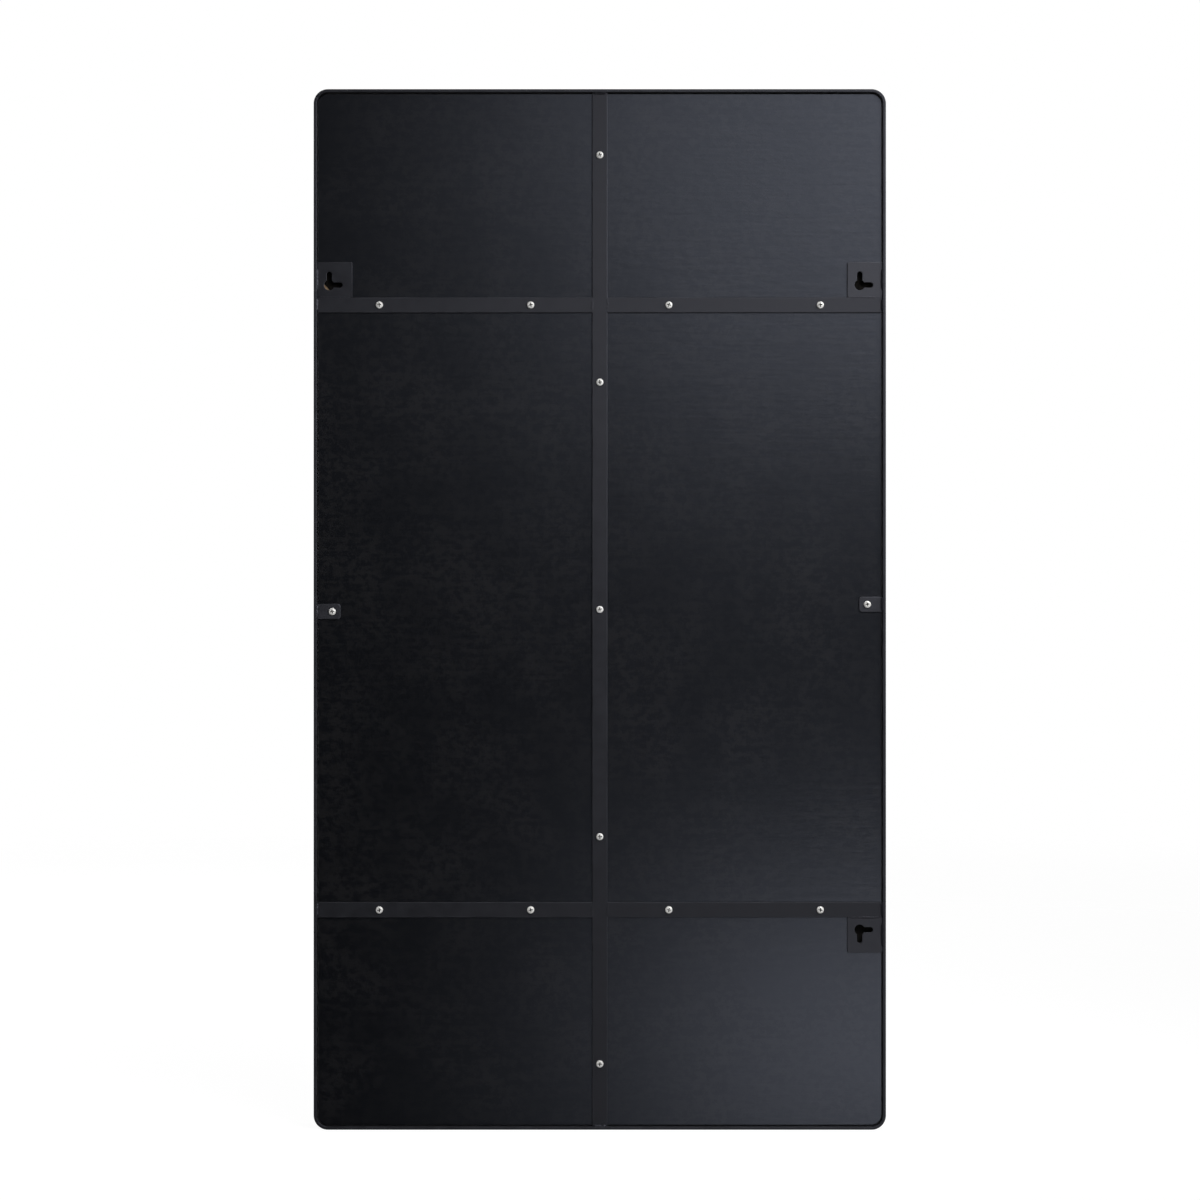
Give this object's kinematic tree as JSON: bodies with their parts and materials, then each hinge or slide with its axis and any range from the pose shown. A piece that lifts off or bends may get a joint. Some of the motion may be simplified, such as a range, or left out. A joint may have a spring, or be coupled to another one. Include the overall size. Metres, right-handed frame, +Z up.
{
  "type": "wall mirror",
  "caption": "Rectangular wall mirror with rounded corners in a thin black steel band, with welded back bars, a screwed backing board and keyhole plates for hanging upright or on its side.",
  "frame": {"origin": "centre of the band's back edge, in the plane that meets the wall", "axes": "+Y out of the back towards the wall, +Z up as hung upright, +X to the left as seen from behind"},
  "size_m": [0.5588, 0.025, 1.016],
  "materials": {
    "frame_coat": "satin black powder coat",
    "bar_coat": "matt black powder coat",
    "weld_coat": "matt black coat over a rippled weld",
    "board_face": "satin black faced fibreboard",
    "tape_foam": "closed-cell foam",
    "film": "thin plastic film",
    "silvered_glass": "silvered, polished",
    "zinc": "bright zinc plate"
  },
  "bodies": {
    "root": {"frame_band": "frame_coat", "vertical_crossbar": "bar_coat", "upper_left_crossbar": "bar_coat", "upper_right_crossbar": "bar_coat", "lower_left_crossbar": "bar_coat", "lower_right_crossbar": "bar_coat", "left_side_tab": "bar_coat", "right_side_tab": "bar_coat", "upper_left_hanger": "bar_coat", "upper_right_hanger": "bar_coat", "lower_right_hanger": "bar_coat", "weld_beads": "weld_coat", "backing_board": "board_face", "mounting_tape": "tape_foam", "safety_film": "film", "mirror_glass": "silvered_glass", "vertical_crossbar_screws": "zinc", "upper_crossbar_screws": "zinc", "lower_crossbar_screws": "zinc", "side_tab_screws": "zinc"}
  },
  "joints": []
}
